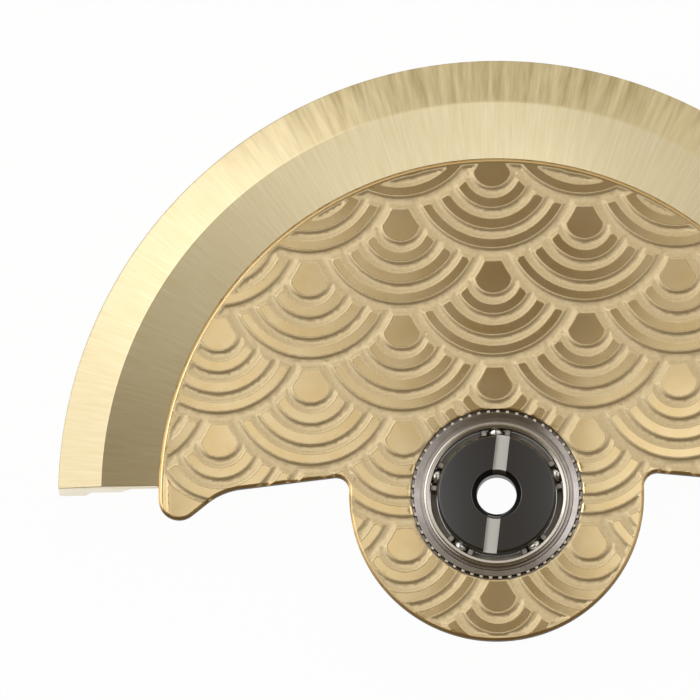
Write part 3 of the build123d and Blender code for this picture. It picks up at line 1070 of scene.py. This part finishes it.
# The core's colour inside 0.62 mm, on the wall of its bore, is painted shade.
core_steel = steel("ground steel", "#A9A7A4", "#BBB9B6", 0.35, middle=(0.62, "#4A443C"))
gear_steel = steel("cut steel", "#B3B0A8", "#C4C1BA", 0.3)
cage_steel = steel("stamped steel", "#A09B94", "#B4AFA8", 0.5)
ball_steel = steel("polished ball steel", "#D2D2D2", "#DEDEDE", 0.08)

place(plate, "rotor", "engraved_gold_plate", gold_plate, "rotor_plate")
place(knurl, "rotor", "ring_steel", knurl_steel)
place(weight, "rotor", "brushed_gold_weight", gold_weight, "rim_weight")
place(outer_ring, "rotor", "ring_steel", ring_steel, "bearing_outer_ring")
place(gear, "rotor", "gear_steel", gear_steel, "driving_gear")
place(core, "inner_race", "core_steel", core_steel, "bearing_core")
place(disc, "inner_race", "polished_disc_steel", polished_disc(), "slotted_disc")
place(cage, "cage", "cage_steel", cage_steel, "ball_cage")
for number, (ball, letter) in enumerate(zip(balls, "abcde"), start=1):
    place(ball, f"ball_{letter}", "ball_steel", ball_steel, f"ball_{number}")
print("materials, with the CAD model's own:", len(bpy.data.materials))

# %% [markdown]
# ## The studio
#
# The rotor lies on white paper. The paper glows for the lens and, a little less, for what the
# metal mirrors, so it is white without more light on the object, and a faint shadow stays.
# From below it is clear, so that the underside can be seen.

# %% Paper floor
floor_reach = 2.0            # metres each way
floor_gap = 0.02             # air under the weight, in millimetres
level = (weight_bottom - floor_gap) * MM
floor_mesh = bpy.data.meshes.new("floor")
floor_mesh.from_pydata([(-floor_reach, -floor_reach, level), (floor_reach, -floor_reach, level),
                        (floor_reach, floor_reach, level), (-floor_reach, floor_reach, level)],
                       [], [(0, 1, 2, 3)])
floor = bpy.data.objects.new("floor", floor_mesh)
bpy.context.scene.collection.objects.link(floor)

material, tree = new_material("white paper")
path = add(tree, "ShaderNodeLightPath")
side = add(tree, "ShaderNodeNewGeometry")
paper = add(tree, "ShaderNodeBsdfDiffuse", ("Color", colour("#F4F4F4")))
glow = add(tree, "ShaderNodeEmission", ("Color", (1, 1, 1, 1)), ("Strength", 1.0))
clear = add(tree, "ShaderNodeBsdfTransparent")
mirrored = add(tree, "ShaderNodeMath", ("operation", "MULTIPLY"),
               (0, path.outputs["Is Glossy Ray"]), (1, 0.75))
seen = add(tree, "ShaderNodeMath", ("operation", "MULTIPLY_ADD"),
           (0, path.outputs["Is Camera Ray"]), (1, 0.97), (2, mirrored))
white = add(tree, "ShaderNodeMixShader", ("Fac", seen), (1, paper), (2, glow))
shown = add(tree, "ShaderNodeMixShader", ("Fac", side.outputs["Backfacing"]),
            (1, white), (2, clear))
add(tree, "ShaderNodeOutputMaterial", ("Surface", shown))
floor.data.materials.append(material)
print("floor at", round(level / MM, 2), "mm")

# %% [markdown]
# Metal shows what it mirrors, so the room is laid out by what each face sees. It is pale at
# the back and half way up, and dark in front, low down and overhead, where the lens looks
# through. The lens itself sees plain white.

# %% Room
world = bpy.data.worlds.new("studio room")
bpy.context.scene.world = world
world.use_nodes = True
tree = world.node_tree
tree.nodes.clear()
path = add(tree, "ShaderNodeLightPath")
direction = add(tree, "ShaderNodeTexCoord").outputs["Generated"]
parts = add(tree, "ShaderNodeSeparateXYZ", (0, direction))
at_back = add(tree, "ShaderNodeMapRange", ("Value", parts.outputs["Y"]),
              ("From Min", -0.6), ("From Max", 0.3))
not_overhead = add(tree, "ShaderNodeMapRange", ("Value", parts.outputs["Z"]),
                   ("From Min", 0.75), ("From Max", 0.92), ("To Min", 1.0), ("To Max", 0.08))
not_low = add(tree, "ShaderNodeMapRange", ("Value", parts.outputs["Z"]),
              ("From Min", 0.25), ("From Max", 0.45), ("To Min", 0.15))
share = at_back
for part in (not_overhead, not_low):
    share = add(tree, "ShaderNodeMath", ("operation", "MULTIPLY"), (0, share), (1, part))
shade = add(tree, "ShaderNodeMix", ("data_type", "RGBA"), ("Factor", share),
            (6, colour("#64563E")), (7, colour("#F5EDDF"))).outputs[2]
room = add(tree, "ShaderNodeBackground", ("Color", shade), ("Strength", 1.0))
white = add(tree, "ShaderNodeBackground", ("Color", (1, 1, 1, 1)), ("Strength", 1.0))
mixed = add(tree, "ShaderNodeMixShader", ("Fac", path.outputs["Is Camera Ray"]),
            (1, room), (2, white))
add(tree, "ShaderNodeOutputWorld", ("Surface", mixed))
print("room nodes", len(tree.nodes))

# %% [markdown]
# Soft lamps hang above as one flat ceiling of rectangles. Seen by the lens, a polished band
# mirrors the place 8 to 9 mm beyond it on that ceiling, so each lamp's strength is matched to
# the tone of the bands and drops that mirror it: bright at the left, dark in the middle, where
# the lens looks through a gap, and fair at the right. Two big boxes beside the ceiling light
# the slopes.

# %% Lamps
ceiling = 70


def lamp(name, size, strength, spot, towards):
    """Rectangular soft lamp. Size and place in mm; strength 1 looks as bright as white paper.

    A flat lamp's brightness is its power over pi times its area.
    """
    data = bpy.data.lights.new(name, "AREA")
    data.shape = "RECTANGLE"
    data.size, data.size_y = size[0] * MM, size[1] * MM
    data.energy = np.pi * strength * data.size * data.size_y
    hung = bpy.data.objects.new(name, data)
    away = (Vector(spot) - Vector(towards)).normalized()
    aimed = away.to_track_quat("Z", "Y").to_matrix().to_4x4()
    hung.matrix_world = Matrix.Translation(Vector(spot) * MM) @ aimed
    hung.visible_camera = False
    bpy.context.scene.collection.objects.link(hung)


ceiling_lamps = [            # name, two opposite corners and strength
    ("left_box", (-44, 18), (-21, 54), 1.62),
    ("left_box_low", (-44, 4), (-21, 18), 1.1),
    ("left_outer", (-11.6, 4), (-8, 18), 0.78),
    ("left_strip", (-8, 12), (-5, 18), 0.5),
    ("left_middle", (-8, 4), (-5, 12), 0.66),
    ("left_near_low", (-5, 4), (-2.5, 8.5), 0.86),
    ("left_near", (-5, 8.5), (-2.5, 12), 0.62),
    ("left_near_high", (-5, 12), (-2.4, 18), 0.3),
    ("right_near", (2.1, -4), (4, 7), 0.82),
    ("right_low", (4, -4), (8, 7), 0.8),
    ("right_low_outer", (8, -4), (21, 7), 0.25),
    ("right_low_far", (21, -25), (44, 7), 0.55),
    ("right_middle", (2, 7), (21, 12), 0.92),
    ("right_box", (21, 7), (44, 18), 0.75),
    ("right_strip", (4, 12), (8, 18), 0.38),
    ("right_strip_outer", (8, 12), (21, 18), 0.58),
    ("right_high", (8, 18), (21, 33), 0.25),
    ("far_middle", (-2.4, 16.9), (4, 21), 0.08)]
for name, low, high, strength in ceiling_lamps:
    middle = np.add(low, high) / 2
    lamp(name, np.subtract(high, low), strength, (*middle, ceiling), (*middle, 0))
lamp("left_soft_box", (62, 120), 1.05, (-68, 5, 75), (0, 5, 0))
lamp("right_soft_box", (62, 120), 0.22, (68, 5, 75), (0, 5, 0))
print("lamps", len(bpy.data.lights))

# %% [markdown]
# ## The camera
#
# The photograph was taken from far above with a long lens, 7 degrees off the rotor's axis, so
# the end faces of the weight just show. The frame cuts off the right end.

# %% Camera
tilt, pan, roll = np.radians([7.15, 0.74, -0.77])
aim = np.array([-4.365, 4.444, plate_top])
camera_distance = 900.0
pixels_per_mm, frame_pixels, sensor = 33.12, 700, 36.0

back = np.array([np.sin(pan), -np.sin(tilt) * np.cos(pan), np.cos(tilt) * np.cos(pan)])
level_right = unit(np.cross([0, 1, 0], back))
level_up = np.cross(back, level_right)
pose = np.eye(4)
pose[:3, 0] = np.cos(roll) * level_right + np.sin(roll) * level_up
pose[:3, 1] = np.cos(roll) * level_up - np.sin(roll) * level_right
pose[:3, 2] = back
pose[:3, 3] = (aim + camera_distance * back) * MM
camera_data = bpy.data.cameras.new("camera")
camera_data.sensor_width = sensor
camera_data.lens = pixels_per_mm * camera_distance / frame_pixels * sensor
camera_data.clip_start, camera_data.clip_end = 0.01, 10.0
camera = bpy.data.objects.new("camera", camera_data)
camera.matrix_world = Matrix(pose.tolist())
bpy.context.scene.collection.objects.link(camera)
bpy.context.scene.camera = camera
bpy.context.scene.view_settings.view_transform = "Standard"
print("lens", round(camera_data.lens, 1), "mm")
